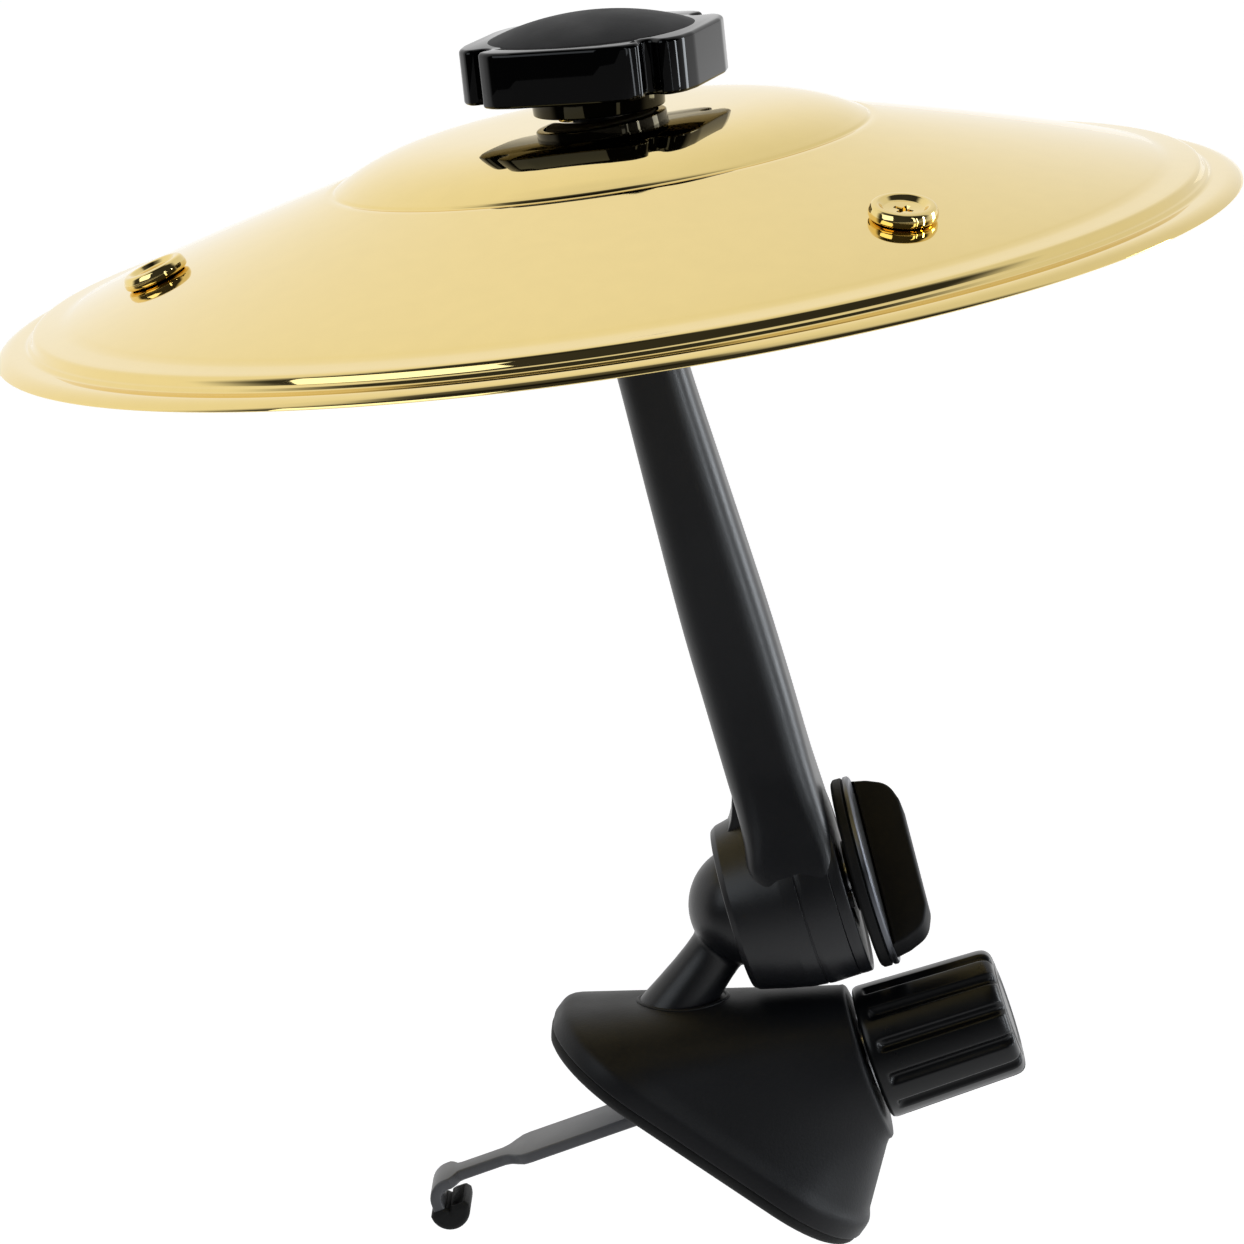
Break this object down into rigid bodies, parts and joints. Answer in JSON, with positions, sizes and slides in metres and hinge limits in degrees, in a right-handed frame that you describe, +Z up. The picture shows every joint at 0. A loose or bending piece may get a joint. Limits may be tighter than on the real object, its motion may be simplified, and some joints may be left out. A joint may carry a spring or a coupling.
{
  "type": "cymbal boom stand",
  "caption": "Small polished cymbal on a short arm, with a lockable ball joint and a hooked, screw-clamped foot for a vent grille.",
  "frame": {"origin": "centre of the outer face of the foot's rubber pad", "axes": "+Z up along the arm, +Y towards the vent (hook side), -Y towards the user (knob side), X across"},
  "size_m": [0.17, 0.1685, 0.1763],
  "materials": {
    "foot_black": "matte moulded",
    "satin_black": "satin moulded",
    "knob_black": "semi-gloss moulded",
    "matte_black": "fine matte",
    "gloss_black": "polished",
    "cap_grey": "satin",
    "rubber": "soft matte",
    "nylon": "natural",
    "felt": "pressed felt",
    "steel": "zinc plated",
    "coated_steel": "dark coating",
    "ring_metal": "satin",
    "brass": "turned",
    "gold_mirror": "mirror polished, gold coloured"
  },
  "bodies": {
    "foot": {"foot_shell": "foot_black", "foot_pad": "rubber", "ball_stud": "satin_black", "post_screw": "steel"},
    "clamp_wheel": {"clamp_knob": "knob_black", "clamp_knob_cap": "knob_black", "clamp_nut": "brass", "clamp_washer": "steel"},
    "hook": {"hook_rod": "steel", "hook_strip": "coated_steel", "hook_grip": "rubber"},
    "liner": {"ball_liner": "nylon"},
    "seat": {"ball_seat": "satin_black"},
    "arm": {"arm": "satin_black", "arm_insert": "brass", "socket_cap": "satin_black", "cap_screws": "matte_black", "stud": "steel", "cup_washer": "steel", "stud_sleeve": "satin_black", "lower_felt": "felt"},
    "plate": {"pressure_plate": "steel"},
    "lock_washer": {"lock_washer": "matte_black"},
    "lock_wheel": {"lock_screw": "steel", "lock_knob": "matte_black", "lock_ring": "ring_metal"},
    "cymbal": {"cymbal": "gold_mirror", "sizzle_screws": "gold_mirror", "sizzle_nuts": "gold_mirror"},
    "top_washer": {"upper_washer": "felt"},
    "top_knob": {"star_knob": "gloss_black", "star_knob_cap": "cap_grey", "star_knob_insert": "brass"}
  },
  "joints": [
    {"name": "clamp_turn", "type": "hinge", "parent": "foot", "child": "clamp_wheel", "pos_m": [0, -0.03624, 0.0054], "axis": [0, 0.9991, -0.0419], "range_deg": [-725, 4325]},
    {"name": "hook_slide", "type": "slide", "parent": "foot", "child": "hook", "axis": [0, 0.9991, -0.0419], "range_m": [-0.0084, 0.0014]},
    {"name": "ball_yaw", "type": "hinge", "parent": "foot", "child": "liner", "pos_m": [0, -0.0158, 0.0306], "axis": [0, 0, 1], "range_deg": [-15, 15]},
    {"name": "ball_pitch", "type": "hinge", "parent": "liner", "child": "seat", "pos_m": [0, -0.0158, 0.0306], "axis": [1, 0, 0], "range_deg": [-55, 3]},
    {"name": "arm_spin", "type": "hinge", "parent": "seat", "child": "arm", "pos_m": [0, -0.0158, 0.0306], "axis": [0, 1, 0], "range_deg": [-60, 60]},
    {"name": "plate_slide", "type": "slide", "parent": "arm", "child": "plate", "axis": [0, -1, 0], "range_m": [0, 0.00031]},
    {"name": "lock_rise", "type": "slide", "parent": "arm", "child": "lock_washer", "axis": [0, -1, 0], "range_m": [0, 0.0016]},
    {"name": "lock_turn", "type": "hinge", "parent": "lock_washer", "child": "lock_wheel", "pos_m": [0, -0.0158, 0.0306], "axis": [0, -1, 0], "range_deg": [-1, 721]},
    {"name": "cymbal_spin", "type": "hinge", "parent": "arm", "child": "cymbal", "pos_m": [0, -0.02424, 0.12348], "axis": [0, -0.1402, 0.9901], "continuous": true},
    {"name": "knob_rise", "type": "slide", "parent": "arm", "child": "top_washer", "axis": [0, -0.1833, 0.9831], "range_m": [0, 0.005]},
    {"name": "knob_turn", "type": "hinge", "parent": "top_washer", "child": "top_knob", "pos_m": [0, -0.02769, 0.14319], "axis": [0, -0.1833, 0.9831], "range_deg": [-1, 1801]}
  ],
  "couplings": [
    {"joint": "clamp_turn", "follows": "hook_slide", "rad_per_m": -8976},
    {"joint": "lock_turn", "follows": "lock_rise", "rad_per_m": 7854},
    {"joint": "plate_slide", "follows": "lock_rise", "ratio": 0.1875},
    {"joint": "knob_turn", "follows": "knob_rise", "rad_per_m": 6283.2}
  ]
}
